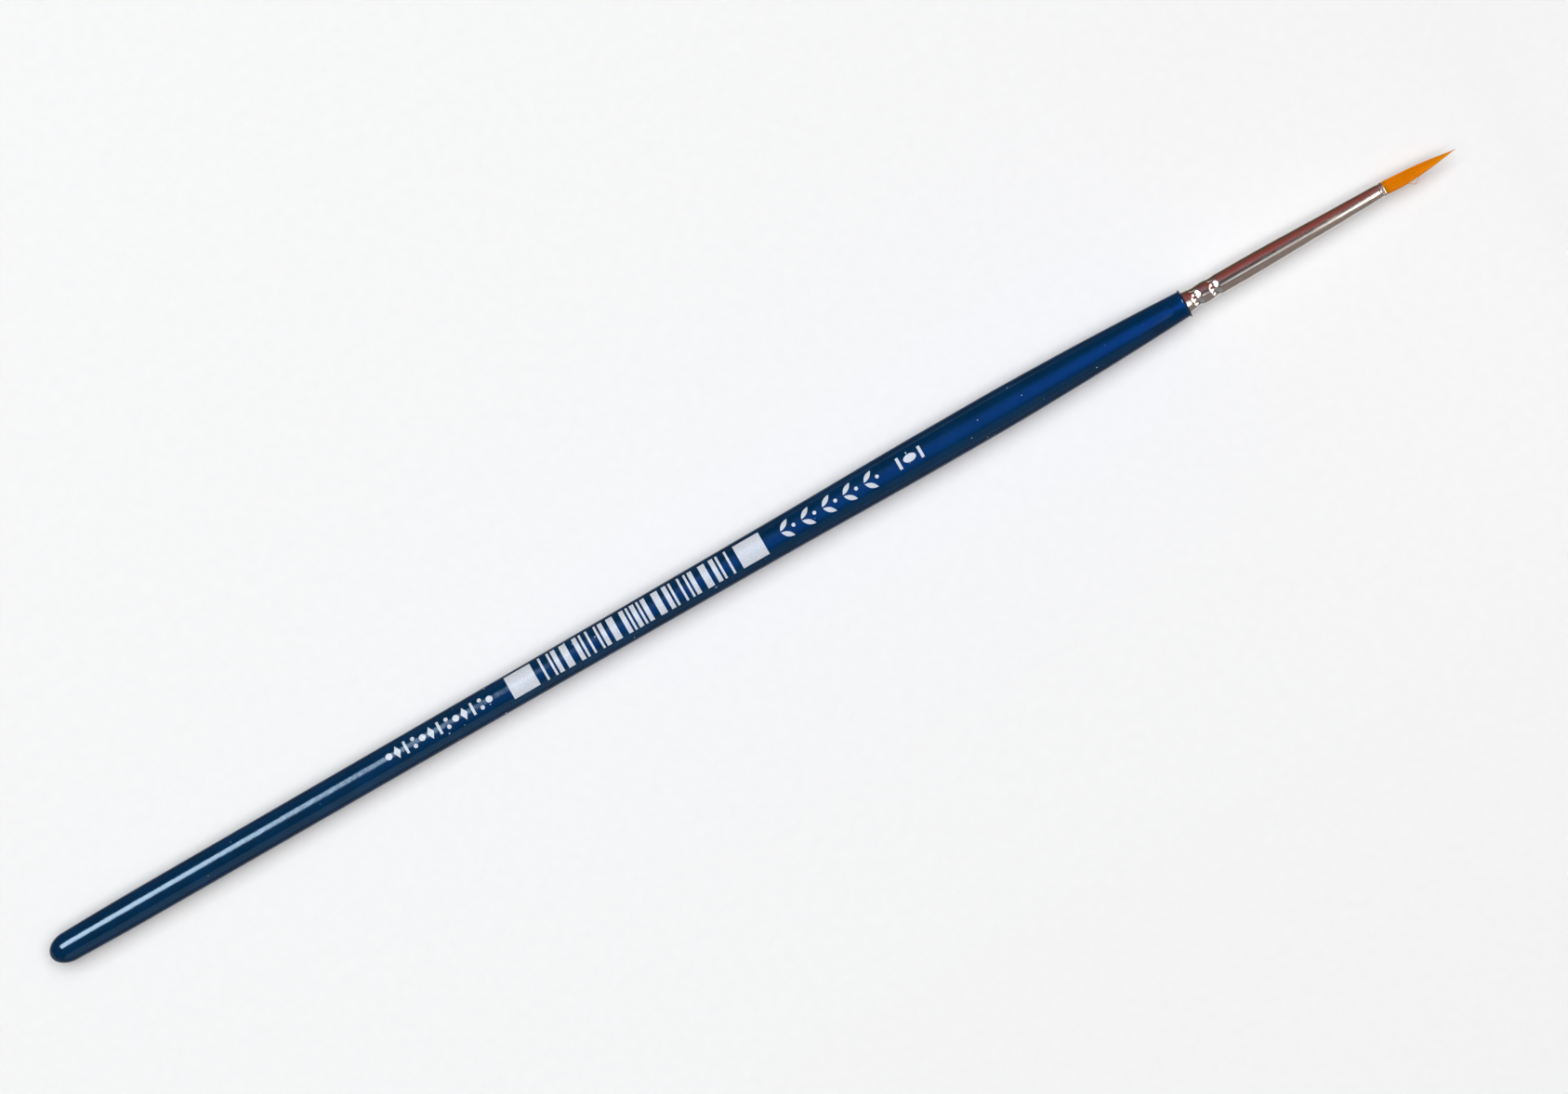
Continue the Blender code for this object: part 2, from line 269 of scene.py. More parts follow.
def lacquer_material():
    """Pearl blue lacquer: fine flake and slow mottling under a clear gloss coat with orange peel and dust."""
    deep_blue = (0.0006, 0.018, 0.052, 1)
    light_blue = (0.0010, 0.024, 0.072, 1)
    pearl_blue = (0.002, 0.06, 0.17, 1)
    dust_grey = (0.35, 0.45, 0.55, 1)
    coat = {"Coat_Weight": 0.45, "Coat_Roughness": 0.11, "Coat_IOR": 1.5}
    material = new_material("lacquer_blue", Specular_IOR_Level=0.0, **coat)
    tree = material.node_tree
    mottle = grain(tree, 0.35, detail=4.0)
    flake = grain(tree, 14.0, detail=1.0)
    cloud = mix_colour(tree, remap(tree, mottle, 0.35, 0.7), deep_blue, light_blue)
    pearl = mix_colour(tree, remap(tree, flake, 0.5, 0.85, 0.0, 0.3), cloud, pearl_blue)
    dust = grain(tree, 2.6, detail=0.0)
    speck = remap(tree, dust, 0.86, 0.875)
    set_looks(material, Base_Color=mix_colour(tree, speck, pearl, dust_grey))
    set_looks(material, Roughness=remap(tree, flake, 0.3, 0.7, 0.30, 0.40))
    peel = grain(tree, 0.9, 1.6, detail=2.0)
    peeled = bump(tree, peel, 0.012 * MM)
    set_looks(material, Normal=bump(tree, speck, 0.01 * MM, Normal=peeled), Coat_Normal=peeled)
    return material


def ink_material():
    """White pad-printed ink, a little thin and pinholed, over the blue."""
    thin_white = (0.50, 0.53, 0.58, 1)
    full_white = (0.64, 0.67, 0.73, 1)
    blue_below = (0.10, 0.20, 0.38, 1)
    material = new_material("print_white", Specular_IOR_Level=0.12)
    tree = material.node_tree
    cover = grain(tree, 6.0, detail=5.0, roughness=0.65)
    tone = mix_colour(tree, remap(tree, cover, 0.35, 0.7), thin_white, full_white)
    holes = grain(tree, 11.0, detail=1.0)
    set_looks(material, Base_Color=mix_colour(tree, remap(tree, holes, 0.74, 0.78), tone, blue_below))
    set_looks(material, Roughness=remap(tree, cover, 0.3, 0.7, 0.32, 0.5))
    set_looks(material, Normal=bump(tree, cover, 0.004 * MM))
    return material


def nickel_material():
    """Nickel plate on drawn brass: draw lines along the tube, slight waves, fine scratches and dull spots."""
    clean = (0.70, 0.655, 0.62, 1)
    stained = (0.60, 0.535, 0.49, 1)
    material = new_material("ferrule_nickel", Metallic=1.0)
    tree = material.node_tree
    stain = grain(tree, 0.7, detail=5.0, roughness=0.6)
    set_looks(material, Base_Color=mix_colour(tree, remap(tree, stain, 0.35, 0.7), clean, stained))
    lines = grain(tree, 0.12, 22.0, detail=2.0)
    waves = grain(tree, 0.55, 2.2, detail=2.0)
    scratches = grain(tree, 9.0)
    set_looks(material, Roughness=remap(tree, stain, 0.3, 0.75, 0.12, 0.20))
    wavy = bump(tree, waves, 0.008 * MM)
    lined = bump(tree, lines, 0.0015 * MM, Normal=wavy)
    set_looks(material, Normal=bump(tree, scratches, 0.001 * MM, Normal=lined))
    return material


def hair_material():
    """Golden orange synthetic filament, each strand in its own tone, painted shade at the mouth and duller at
    the tip.
    """
    red_orange = (0.62, 0.145, 0.0005, 1)
    gold_orange = (0.82, 0.27, 0.002, 1)
    # painted shade: the colour that darkens each strand where it leaves the mouth
    root_painted_shade = (0.38, 0.15, 0.004, 1)
    tip_brown = (0.50, 0.20, 0.004, 1)
    shine = (1.0, 0.45, 0.005, 1)
    material = new_material("hair_orange", Specular_IOR_Level=0.4, Specular_Tint=shine)
    tree = material.node_tree
    tint = add(tree, "ShaderNodeAttribute", {"attribute_name": "strand_tint"}).outputs["Fac"]
    run = add(tree, "ShaderNodeAttribute", {"attribute_name": "strand_run"}).outputs["Fac"]
    strand = mix_colour(tree, tint, red_orange, gold_orange)
    # painted shade, strongest at the mouth and gone within the first stretch of each strand
    shaded_at_root = mix_colour(tree, remap(tree, run, 0.0, 0.07, 0.8, 0.0), strand, root_painted_shade)
    tipped = mix_colour(tree, remap(tree, run, 0.5, 1.0, 0.0, 0.6), shaded_at_root, tip_brown)
    scales = grain(tree, 4.0, 30.0, detail=2.0)
    set_looks(material, Base_Color=tipped, Roughness=remap(tree, scales, 0.3, 0.7, 0.32, 0.5))
    set_looks(material, Normal=bump(tree, scales, 0.001 * MM))
    return material


def wood_material():
    """Pale turned limewood with its grain along the handle."""
    late_wood = (0.38, 0.24, 0.12, 1)
    early_wood = (0.62, 0.45, 0.27, 1)
    material = new_material("turned_wood")
    tree = material.node_tree
    fibre = grain(tree, 0.08, 2.5, detail=6.0, roughness=0.6)
    set_looks(material, Base_Color=mix_colour(tree, remap(tree, fibre, 0.35, 0.65), late_wood, early_wood))
    set_looks(material, Roughness=remap(tree, fibre, 0.3, 0.7, 0.75, 0.55))
    set_looks(material, Normal=bump(tree, fibre, 0.01 * MM))
    return material


def cured_material(name, pale, dark):
    """Cured glue or resin, cloudy and slightly pitted."""
    material = new_material(name)
    tree = material.node_tree
    cloud = grain(tree, 2.5, detail=4.0)
    set_looks(material, Base_Color=mix_colour(tree, remap(tree, cloud, 0.35, 0.65), dark, pale))
    set_looks(material, Roughness=remap(tree, cloud, 0.3, 0.7, 0.2, 0.45))
    set_looks(material, Normal=bump(tree, cloud, 0.015 * MM))
    return material


def thread_material():
    """White twisted thread, its ply showing as slanting bands."""
    shaded = (0.45, 0.42, 0.36, 1)
    white = (0.80, 0.77, 0.71, 1)
    material = new_material("thread_white", Sheen_Weight=0.3)
    tree = material.node_tree
    where = object_space(tree, 9.0, 9.0)
    bands = add(tree, "ShaderNodeTexWave", {"bands_direction": "DIAGONAL"}, Vector=where, Distortion=1.5)
    ply = bands.outputs["Fac"]
    set_looks(material, Base_Color=mix_colour(tree, ply, shaded, white))
    set_looks(material, Roughness=remap(tree, ply, 0.0, 1.0, 0.9, 0.7))
    set_looks(material, Normal=bump(tree, ply, 0.01 * MM))
    return material


def bundle_material():
    """End of the hair bundle inside the ferrule: packed strands soaked in resin."""
    between = (0.25, 0.06, 0.004, 1)
    strand = (0.62, 0.17, 0.008, 1)
    material = new_material("bundle_orange")
    tree = material.node_tree
    strands = grain(tree, 0.3, 16.0, detail=1.0)
    set_looks(material, Base_Color=mix_colour(tree, remap(tree, strands, 0.4, 0.6), between, strand))
    set_looks(material, Roughness=remap(tree, strands, 0.3, 0.7, 0.6, 0.35))
    set_looks(material, Normal=bump(tree, strands, 0.01 * MM))
    return material


def dress_cad_nodes():
    """Materials of the CAD nodes that stay as they are, inside the handle and the ferrule."""
    looks = {
        "handle_wood": wood_material(),
        "handle_glue": cured_material("glue_amber", (0.62, 0.42, 0.15, 1), (0.40, 0.24, 0.07, 1)),
        "tuft_resin": cured_material("resin_grey", (0.42, 0.38, 0.30, 1), (0.26, 0.22, 0.16, 1)),
        "binding_thread": thread_material(),
        "tuft_root": bundle_material(),
    }
    for name, material in looks.items():
        slots = frame["nodes"][name].data.materials
        slots.clear()
        slots.append(material)


# ---------------------------------------------------------------- handle

HANDLE_SIDES = 96
COAT = 0.1 * MM
COAT_BACK_START = 6.0 * MM  # the coat's inner side starts here, and the rounded butt before it is solid
FLARE_STEPS = 6
LIP_EDGE = 0.05 * MM
LIP_RAGGED = 0.045 * MM
LIP_ROUGH = 0.02 * MM
LIP_DRAWN_IN = 0.02 * MM
HOLE_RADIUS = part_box("ferrule")[1].y + 0.035 * MM


def lip_wobble(station, angle, radius):
    """The lacquer that pooled at the shoulder is uneven: the further out on the lip, the more ragged."""
    if station < SHOULDER - LIP_LENGTH:
        return 0.0
    out = max(0.0, radius - BODY_END_RADIUS) / (LIP_RADIUS - BODY_END_RADIUS)
    ragged = noise_round(angle, 3.0, 4.0)
    rough = noise_round(angle, 11.0, 9.0)
    return out * (LIP_RAGGED * ragged + LIP_ROUGH * rough - LIP_DRAWN_IN)


def build_handle(material):
    """The coat of lacquer, flared into a lip at the shoulder, with the hole that the ferrule comes out of."""
    flare = []
    for k in range(1, FLARE_STEPS + 1):
        t = k / FLARE_STEPS
        station = BODY_END + t * (SHOULDER - LIP_EDGE - BODY_END)
        flare.append((station, BODY_END_RADIUS + (LIP_RADIUS - BODY_END_RADIUS) * t ** 3))
    front = [
        (SHOULDER - 0.02 * MM, LIP_RADIUS - 0.005 * MM),
        (SHOULDER, LIP_RADIUS - 0.03 * MM),
        (SHOULDER - 0.01 * MM, BODY_END_RADIUS),
        (SHOULDER, HOLE_RADIUS + 0.04 * MM),
        (SHOULDER - 0.02 * MM, HOLE_RADIUS),
        (SHOULDER - 0.1 * MM, HOLE_RADIUS),
    ]
    back = [(station, radius - COAT) for station, radius in BODY_RINGS[::-1] if station > COAT_BACK_START]
    outline = HANDLE_OUTLINE + flare + front + back + [(COAT_BACK_START, 0.0)]
    handle = turned_piece("lacquer_coat", outline, HANDLE_SIDES, material, lip_wobble)
    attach(handle, "handle")
    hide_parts("handle_lacquer")


# ---------------------------------------------------------------- printing on the handle

INK_SUNK = 0.004 * MM
INK_FILM = 0.016 * MM
PRINT_SLICE = 0.12 * MM  # width of the flat facets into which the printing is cut to bend round the handle
PRINT_TURN_STATIONS = (58.6 * MM, 87.0 * MM)
PRINT_TURNS = (math.radians(15.2), math.radians(10.4))


def print_turn(station):
    """The printing is centred a little towards +Y, and runs slightly askew."""
    return np.interp(station, PRINT_TURN_STATIONS, PRINT_TURNS)


def print_piece(name, outlines, material):
    """Flat outlines laid on the handle as a film of ink. An outline is a list of (station, width across)."""
    sheet = bmesh.new()
    for outline in outlines:
        sheet.faces.new([sheet.verts.new((station, across, 0.0)) for station, across in outline])
    reach = max(abs(vertex.co.y) for vertex in sheet.verts)
    slices = int(reach / PRINT_SLICE) + 1
    for k in range(-slices, slices + 1):
        everything = sheet.verts[:] + sheet.edges[:] + sheet.faces[:]
        cut = {"plane_co": (0.0, k * PRINT_SLICE, 0.0), "plane_no": (0.0, 1.0, 0.0)}
        bmesh.ops.bisect_plane(sheet, geom=everything, dist=TINY, **cut)
    bmesh.ops.triangulate(sheet, faces=[face for face in sheet.faces if len(face.verts) > 4])
    for vertex in sheet.verts:
        station, across, _ = vertex.co
        radius = handle_radius(station)
        vertex.co = on_brush(station, print_turn(station) + across / radius, radius - INK_SUNK)
    bmesh.ops.recalc_face_normals(sheet, faces=sheet.faces)
    for face in sheet.faces:
        middle = face.calc_center_median()
        if face.normal.dot(Vector((0.0, middle.y, middle.z - AXIS_Z))) < 0.0:
            face.normal_flip()
    mesh = bpy.data.meshes.new(name)
    sheet.to_mesh(mesh)
    sheet.free()
    mesh.materials.append(material)
    piece = placed(name, mesh)
    film = piece.modifiers.new("film", "SOLIDIFY")
    film.thickness = INK_FILM
    film.offset = 1.0
    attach(piece, "handle")


def box_outline(start, end, low, high):
    return [(start, low), (end, low), (end, high), (start, high)]


def oval_outline(station, across, length, height, count):
    """A closed outline of count points on an oval of that length and height."""
    outline = []
    for k in range(count):
        angle = TAU * k / count
        outline.append((station + 0.5 * length * math.cos(angle), across + 0.5 * height * math.sin(angle)))
    return outline


def leaf_outline(station, across, length, height, lean):
    """A leaf with a point at both ends, leaning by an angle."""
    count = 9
    fullness = 0.9
    outline = []
    for side in (1.0, -1.0):
        for k in range(count):
            t = k / count if side > 0.0 else 1.0 - k / count
            along = (t - 0.5) * length
            out = side * 0.5 * height * math.sin(math.pi * t) ** fullness
            leant_along = along * math.cos(lean) - out * math.sin(lean)
            leant_out = along * math.sin(lean) + out * math.cos(lean)
            outline.append((station + leant_along, across + leant_out))
    return outline


def print_stripes(material):
    """A decorative band of stripes between two solid ends. It mirrors about its middle and holds no code."""
    start = 57.0 * MM
    end = 88.4 * MM
    solid_end = 3.17 * MM
    half_height = 1.46 * MM
    stripe = 0.264 * MM
    middle = 0.5 * (start + end)
    spans = [(start, start + solid_end), (end - solid_end, end), (middle - stripe, middle + stripe)]
    place = 2.0 * stripe
    step = 0
    while middle + place + 3.0 * stripe < end - solid_end:
        width = (1 + (step * step + step // 2) % 3) * stripe
        gap = (1 + (step * 2) % 3) * stripe
        spans.append((middle - place - width, middle - place))
        spans.append((middle + place, middle + place + width))
        place += width + gap
        step += 1
    outlines = [box_outline(left, right, -half_height, half_height) for left, right in spans]
    print_piece("print_stripes", outlines, material)


def print_marks(material):
    """A row of small plain marks: a dot, a lozenge, a dash and a pair of dots in turn."""
    start = 41.7 * MM
    end = 55.1 * MM
    count = 13
    height = 1.5 * MM
    dot = 0.76 * MM
    lozenge = 0.78 * MM
    dash = 0.30 * MM
    small_dot = 0.48 * MM
    pitch = (end - start) / count
    outlines = []
    for k in range(count):
        station = start + (k + 0.5) * pitch
        kind = k % 4
        if kind == 0:
            outlines.append(oval_outline(station, 0.0, dot, dot, 20))
        elif kind == 1:
            outlines.append(oval_outline(station, 0.0, lozenge, height, 4))
        elif kind == 2:
            left = station - 0.5 * dash
            outlines.append(box_outline(left, left + dash, -0.5 * height, 0.5 * height))
        else:
            for across in (0.30 * height, -0.30 * height):
                outlines.append(oval_outline(station, across, small_dot, small_dot, 16))
    print_piece("print_marks", outlines, material)


def print_ornament(material):
    """A running ornament of paired leaves, with a dot after each pair."""
    start = 89.9 * MM
    end = 102.8 * MM
    pairs = 5
    leaf_across = 0.56 * MM
    leaf_length = 1.55 * MM
    leaf_height = 0.55 * MM
    leaf_lean = math.radians(38.0)
    dot = 0.42 * MM
    dot_ahead = 0.95 * MM
    pitch = (end - start) / pairs
    outlines = []
    for k in range(pairs):
        station = start + (k + 0.5) * pitch
        for side in (1.0, -1.0):
            across = side * leaf_across
            outlines.append(leaf_outline(station, across, leaf_length, leaf_height, side * leaf_lean))
        outlines.append(oval_outline(station + dot_ahead, 0.0, dot, dot, 16))
    print_piece("print_ornament", outlines, material)


def print_size_mark(material):
    """A plain oval between two bars, in place of a size number."""
    middle = 106.5 * MM
    bar_near = 1.15 * MM
    bar_far = 1.5 * MM
    bar_half_height = 0.7 * MM
    outlines = [oval_outline(middle, 0.0, 1.5 * MM, 0.9 * MM, 24)]
    for left in (middle - bar_far, middle + bar_near):
        outlines.append(box_outline(left, left + bar_far - bar_near, -bar_half_height, bar_half_height))
    print_piece("print_size_mark", outlines, material)


# ---------------------------------------------------------------- ferrule

FERRULE_SIDES = 144
FERRULE_WALL = 0.13 * MM
TUBE_RADIUS = 1.185 * MM
FLARE_LENGTH = 0.54 * MM
CRIMP_STATIONS = (SHOULDER + 1.3 * MM, SHOULDER + 3.5 * MM)
CRIMP_END = SHOULDER + 4.4 * MM
CRIMP_FADE = 0.4 * MM
CRIMP_STEPS = 48
CRIMP_UNEVEN = 0.02 * MM
CRIMP_UNEVEN_LENGTH = 0.7 * MM
DENTS_PER_ROW = 8
GROOVE_WIDTH = 1.2 * MM
GROOVE_FLAT = 0.15  # share of the groove's width that is flat
GROOVE_DEPTH = 0.11 * MM
DENT_DEPTH = 0.12 * MM
DENT_TURN = math.radians(8.0)  # turn of the dents from straight up, towards +Y
BEAD_LENGTH = 0.28 * MM
BEAD_STEPS = 12
BEAD_START = MOUTH - BEAD_LENGTH
CREASE_START = BEAD_START - 0.34 * MM  # a shallow crease runs round the tube behind the bead
CREASE_DEPTH = 0.045 * MM
STEP_LENGTH = 0.01 * MM
TAPER_END = BEAD_START - 0.1 * MM


def crimp_shift(station, angle, radius):
    """How far the crimp moves a point of the ferrule: in at each dented groove, and unevenly all over."""
    if station > CRIMP_END:
        return 0.0
    dented = 0.5 + 0.5 * math.cos(DENTS_PER_ROW * (angle - DENT_TURN))
    shift = 0.0
    for row in CRIMP_STATIONS:
        reach = abs(station - row) / (0.5 * GROOVE_WIDTH)
        shift -= (GROOVE_DEPTH + DENT_DEPTH * dented) * (1.0 - rising(reach, GROOVE_FLAT, 1.0))
    uneven = noise_round(angle, 2.2, station / CRIMP_UNEVEN_LENGTH)
    fade = min(1.0, (CRIMP_END - station) / CRIMP_FADE)
    return shift + CRIMP_UNEVEN * uneven * fade


def build_ferrule(material):
    """Drawn tube: flared behind, dented by the crimp, tapered, and rolled out into a bead at the mouth."""
    rings = outer_rings("ferrule")
    flare_height = rings[0][1] - TUBE_RADIUS
    tube = []
    for k in range(CRIMP_STEPS + 1):
        station = FERRULE_REAR + (CRIMP_END - FERRULE_REAR) * k / CRIMP_STEPS
        flared = max(0.0, 1.0 - (station - FERRULE_REAR) / FLARE_LENGTH)
        tube.append((station, TUBE_RADIUS + flare_height * flared))
    taper = [ring for ring in rings if CRIMP_END < ring[0] < TAPER_END]
    tube += smooth_outline(taper, 3, from_axis=False)
    tube = [ring for ring in tube if ring[0] < CREASE_START - STEP_LENGTH]
    mouth_radius = taper[-1][1] - 0.008 * MM
    crease = [
        (CREASE_START, mouth_radius + 0.006 * MM),
        (CREASE_START + STEP_LENGTH, mouth_radius - CREASE_DEPTH),
        (BEAD_START - STEP_LENGTH, mouth_radius - 0.005 * MM),
    ]
    bead_foot = mouth_radius - 0.01 * MM
    bead_height = max(radius for station, radius in rings[-3:]) - mouth_radius + 0.015 * MM
    bead = []
    for k in range(BEAD_STEPS + 1):
        angle = math.pi * k / BEAD_STEPS
        station = MOUTH - 0.5 * BEAD_LENGTH * (1.0 + math.cos(angle))
        bead.append((station, bead_foot + bead_height * math.sin(angle)))
    inner_radius = mouth_radius - FERRULE_WALL
    inside = [(MOUTH - 0.02 * MM, inner_radius + 0.04 * MM), (MOUTH - 0.10 * MM, inner_radius)]
    inside += [(station, radius - FERRULE_WALL) for station, radius in tube[::-1]]
    outline = tube + crease + bead + inside
    ferrule = turned_piece("ferrule_tube", outline, FERRULE_SIDES, material, crimp_shift, closed=True)
    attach(ferrule, "handle")
    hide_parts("ferrule")


# ---------------------------------------------------------------- tuft

STRANDS = 380
STRAND_SIDES = 5
STRAND_RINGS = 20
STRAND_RADIUS = 0.036 * MM
STRAND_TAPER = 0.6  # share of its radius that a strand loses towards its end
STRAND_INSIDE = 0.35 * MM
STRAND_WANDER = 0.08  # most that a strand is out of its even place round the bundle, in radians
STRAND_SWAY = 0.10  # most that it drifts round the bundle on its way to the tip, in radians
STRAND_WAVE = 0.02  # radians that it waves either way
SHORTEST = 0.45  # share of the free length by which the shortest strand could fall short
LOOSE_SHARE = 0.03  # share of the strands on the outside of the bundle that bow out of it a little
LOOSE_SPREAD = 0.9  # share of the bundle's radius past which a strand counts as being on the outside
LOOSE_HEIGHT = (0.03 * MM, 0.10 * MM)
GOLDEN_ANGLE = math.pi * (3.0 - math.sqrt(5.0))
AT_PIVOT = 0.01 * MM  # a ring this close to a pivot counts as being at it
BEND_GAP = 0.05 * MM  # straight stretch before each bend
HEEL_BEND = (MOUTH + BEND_GAP, 2.0 * PIVOTS["tuft_heel"] - MOUTH - BEND_GAP)
POINT_BEND = (HEEL_BEND[1] + BEND_GAP, 2.0 * PIVOTS["tuft_point"] - HEEL_BEND[1] - BEND_GAP)
TUFT_SPLIT = 0.5 * (HEEL_BEND[1] + POINT_BEND[0])
ROOT_LEAN = -0.10 * MM  # the tuft leans a little to the -Y side, most of it close to the mouth
TIP_LEAN = -0.07 * MM
LEANT = MOUTH + 2.2 * MM  # the lean close to the mouth is complete here
STRAY = STRANDS - 1  # one hair bows far out of the tuft on the -Y side
STRAY_RINGS = 70
STRAY_ANGLE = math.radians(-88.0)
STRAY_HEIGHT = 0.48 * MM
BOW_RISE = (MOUTH + 2.45 * MM, MOUTH + 3.25 * MM)
BOW_FALL = (MOUTH + 3.3 * MM, MOUTH + 4.1 * MM)


def tuft_envelope():
    """Stations and radii of the whole tuft, from inside the mouth to the tip, read from the CAD solids."""
    heel = [ring for ring in outer_rings("tuft_heel") if ring[0] > PIVOTS["tuft_heel"] - AT_PIVOT]
    point = [ring for ring in outer_rings("tuft_point") if ring[0] > PIVOTS["tuft_point"] - AT_PIVOT]
    root_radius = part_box("tuft_root")[1].y
    rear = [
        (MOUTH - 2.0 * STRAND_INSIDE, root_radius - 0.06 * MM),
        (MOUTH - 0.02 * MM, root_radius - 0.02 * MM),
        (MOUTH + 0.25 * MM, heel[0][1] - 0.01 * MM),
    ]
    return list(zip(*(rear + heel + point)))


def strand_path(rng, index, envelope):
    """Centre line of one strand, as (station, angle, distance from the axis, strand radius) at each ring."""
    spread = math.sqrt((index + 0.5) / STRANDS)
    angle = index * GOLDEN_ANGLE + rng.uniform(-STRAND_WANDER, STRAND_WANDER)
    start = MOUTH - STRAND_INSIDE
    end = TIP - (TIP - MOUTH) * SHORTEST * rng.random() ** 5.0
    sway = rng.uniform(-STRAND_SWAY, STRAND_SWAY)
    wave = rng.uniform(0.0, TAU)
    is_loose = rng.random() < LOOSE_SHARE and spread > LOOSE_SPREAD
    bow = rng.uniform(*LOOSE_HEIGHT) if is_loose else 0.0
    rings = STRAND_RINGS
    if index == STRAY:
        angle = STRAY_ANGLE
        bow = STRAY_HEIGHT
        rings = STRAY_RINGS
    stations = sorted({*np.linspace(start, TUFT_SPLIT, 7), *np.linspace(TUFT_SPLIT, end, rings)})
    path = []
    for station in stations:
        t = (station - start) / (end - start)
        room = float(np.interp(station, *envelope))
        thick = STRAND_RADIUS * (1.0 - STRAND_TAPER * t ** 2.4)
        thick = min(thick, 0.9 * room + 0.004 * MM)
        distance = max(0.0, room - thick) * spread + bow * hump(station, BOW_RISE, BOW_FALL)
        turn = angle + sway * t + STRAND_WAVE * math.sin(wave + 9.0 * t)
        path.append((station, turn, distance, thick))
    return path


def strand_mesh(vertices, faces, tints, runs, path, tint):
    """Adds one tapered strand, closed at both ends, to the lists of a mesh under way."""
    first = len(vertices)
    for station, turn, distance, thick in path:
        lean = ROOT_LEAN * rising(station, MOUTH, LEANT) + TIP_LEAN * rising(station, MOUTH, TIP)
        centre = on_brush(station, turn, distance) + Vector((0.0, lean, 0.0))
        for k in range(STRAND_SIDES):
            angle = TAU * k / STRAND_SIDES
            vertices.append(centre + Vector((0.0, thick * math.sin(angle), thick * math.cos(angle))))
        run = (station - MOUTH) / (TIP - MOUTH)
        tints.extend([tint] * STRAND_SIDES)
        runs.extend([min(1.0, max(0.0, run))] * STRAND_SIDES)
    last = len(vertices) - STRAND_SIDES
    for a in range(first, last, STRAND_SIDES):
        b = a + STRAND_SIDES
        for k in range(STRAND_SIDES):
            n = (k + 1) % STRAND_SIDES
            faces.append((a + k, a + n, b + n, b + k))
    faces.append(tuple(range(first, first + STRAND_SIDES)))
    faces.append(tuple(reversed(range(last, last + STRAND_SIDES))))


def sharpen_ends(mesh):
    """Marks the edges round the flat ends of the strands sharp, so that their sides stay evenly shaded."""
    ends = {edge for face in mesh.polygons if len(face.vertices) == STRAND_SIDES for edge in face.edge_keys}
    for edge in mesh.edges:
        edge.use_edge_sharp = edge.key in ends


def build_tuft(material):
    """All the strands, each one cut in two between the hinges."""
    rng = random.Random(17)
    envelope = tuft_envelope()
    parts = {"hair_heel": ([], [], [], []), "hair_point": ([], [], [], [])}
    for index in range(STRANDS):
        path = strand_path(rng, index, envelope)
        tint = rng.random()
        strand_mesh(*parts["hair_heel"], [step for step in path if step[0] <= TUFT_SPLIT + TINY], tint)
        strand_mesh(*parts["hair_point"], [step for step in path if step[0] >= TUFT_SPLIT - TINY], tint)
    made = {}
    for name, (vertices, faces, tints, runs) in parts.items():
        piece = new_piece(name, vertices, faces, material)
        sharpen_ends(piece.data)
        for attribute, values in (("strand_tint", tints), ("strand_run", runs)):
            piece.data.attributes.new(attribute, "FLOAT", "POINT").data.foreach_set("value", values)
        made[name] = piece
    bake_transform(made["hair_heel"])
    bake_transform(made["hair_point"])
    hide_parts("tuft_heel")
    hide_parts("tuft_point")


# ---------------------------------------------------------------- floor

FLOOR_REACH = 1.5


def build_floor():
    """A pale, nearly white tabletop with the faintest tooth of paper."""
    shaded = (0.80, 0.80, 0.805, 1)
    pale = (0.84, 0.84, 0.84, 1)
    material = new_material("floor_pale", Roughness=0.85, Specular_IOR_Level=0.2)
    tree = material.node_tree
    tooth = grain(tree, 0.8, detail=4.0)
    set_looks(material, Base_Color=mix_colour(tree, tooth, shaded, pale))
    set_looks(material, Normal=bump(tree, tooth, 0.01 * MM))
    near = -FLOOR_REACH
    far = FLOOR_REACH
    corners = [(near, near, 0.0), (far, near, 0.0), (far, far, 0.0), (near, far, 0.0)]
    new_piece("floor", corners, [(0, 1, 2, 3)], material, smooth=False)


# ---------------------------------------------------------------- light

LIP_X = BUTT_X + SHOULDER
MOUTH_X = BUTT_X + MOUTH
TIP_X = BUTT_X + TIP
WALL_CHANGE_X = LIP_X + 0.05 * MM  # the wall beside the brush changes colour just past the lip
CARD_CELLS = 24
ROOM_COLOUR = (0.040, 0.035, 0.033, 1.0)
GLOW_BLUE = (0.04, 0.66, 4.7)


def light_above(name, place, size, power):
    """A square light that faces straight down. It lights things evenly and isn't seen in reflections."""
    light = bpy.data.lights.new(name, "AREA")
    light.shape = "SQUARE"
    light.size = size
    light.energy = power
    lamp = placed(name, light)
    lamp.matrix_world = Matrix.Translation(place)
    lamp.visible_glossy = False


def card_material(name, see_through):
    """Light in the colour of each point. The light of a see-through card is added to what is behind it."""
    material = bpy.data.materials.new(name)
    material.use_nodes = True
    tree = material.node_tree
    tree.nodes.clear()
    colours = add(tree, "ShaderNodeAttribute", {"attribute_name": "glow"}).outputs["Color"]
    light = add(tree, "ShaderNodeEmission", Color=colours, Strength=1.0).outputs["Emission"]
    if see_through:
        clear = add(tree, "ShaderNodeBsdfTransparent").outputs["BSDF"]
        light = add(tree, "ShaderNodeAddShader", in0=light, in1=clear).outputs["Shader"]
    add(tree, "ShaderNodeOutputMaterial", Surface=light)
    return material


